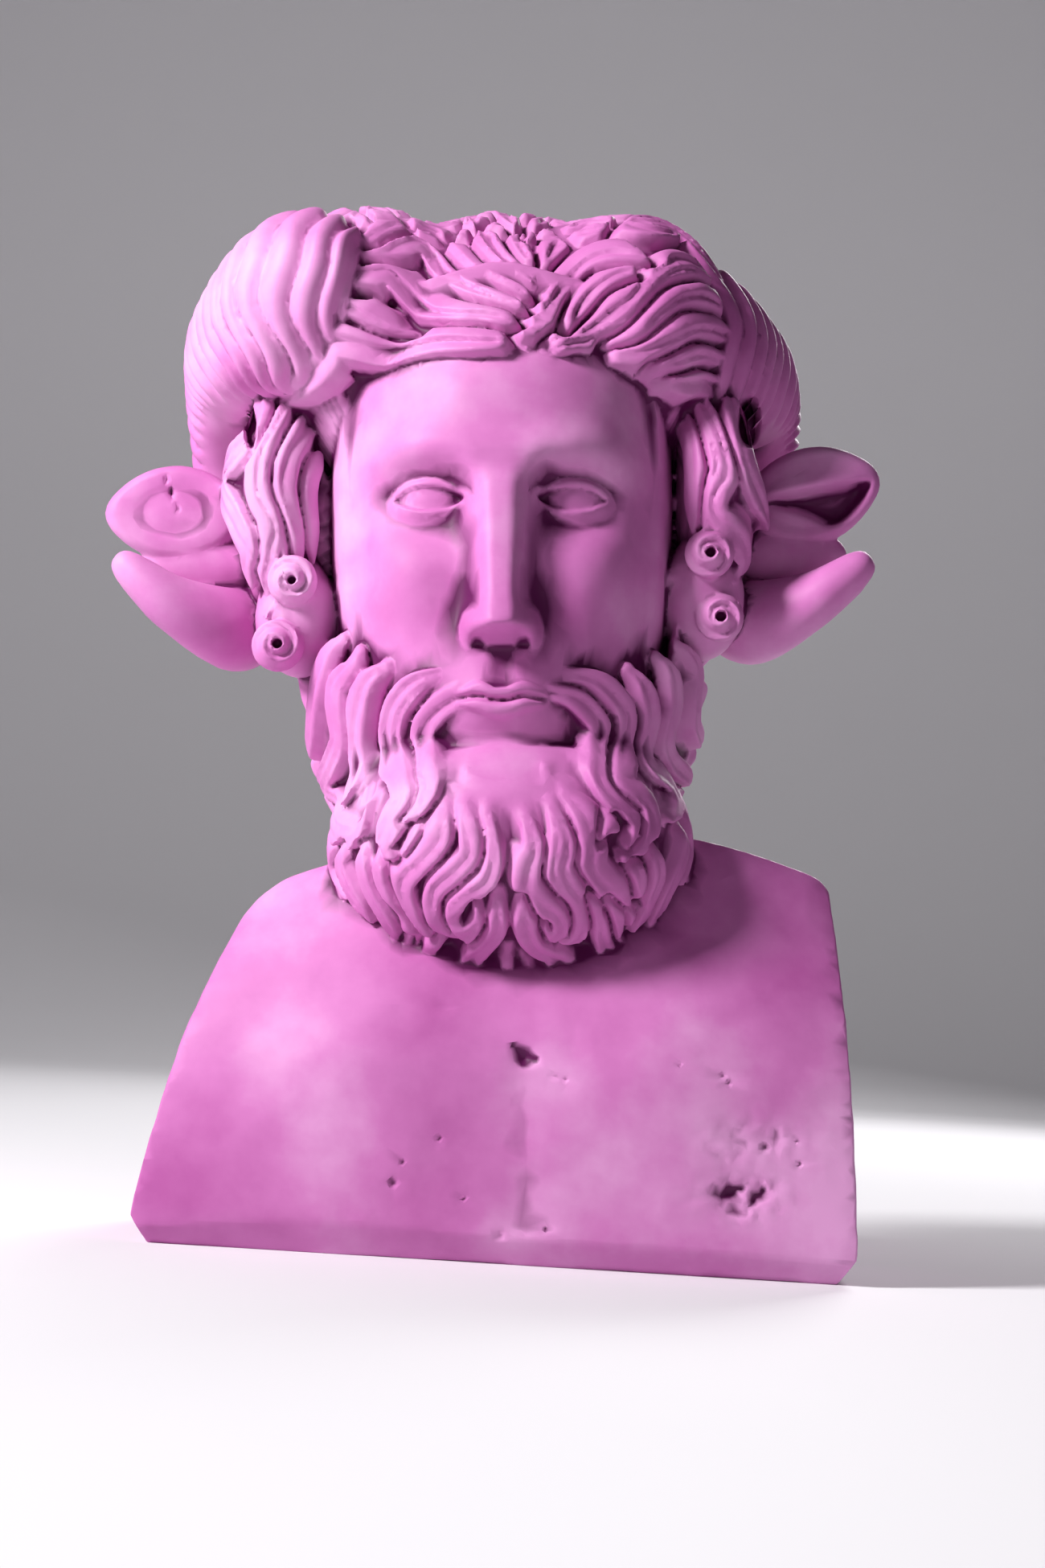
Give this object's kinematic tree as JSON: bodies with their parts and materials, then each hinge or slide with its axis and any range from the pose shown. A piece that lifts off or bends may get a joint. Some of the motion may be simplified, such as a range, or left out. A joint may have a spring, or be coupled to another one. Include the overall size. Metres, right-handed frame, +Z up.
{
  "type": "bearded ram-horned god bust",
  "caption": "Marble bust of a bearded god with ribbed ram's horns, goat ears and a plain shoulder block cut flat at the sides and underneath.",
  "frame": {"origin": "on the flat underside, under the middle of the chest", "axes": "+Z up; the face looks along -Y; +X is the viewer's right"},
  "size_m": [0.3796, 0.2443, 0.5023],
  "materials": {
    "marble": null
  },
  "bodies": {
    "root": {"bust": "marble"}
  },
  "joints": []
}
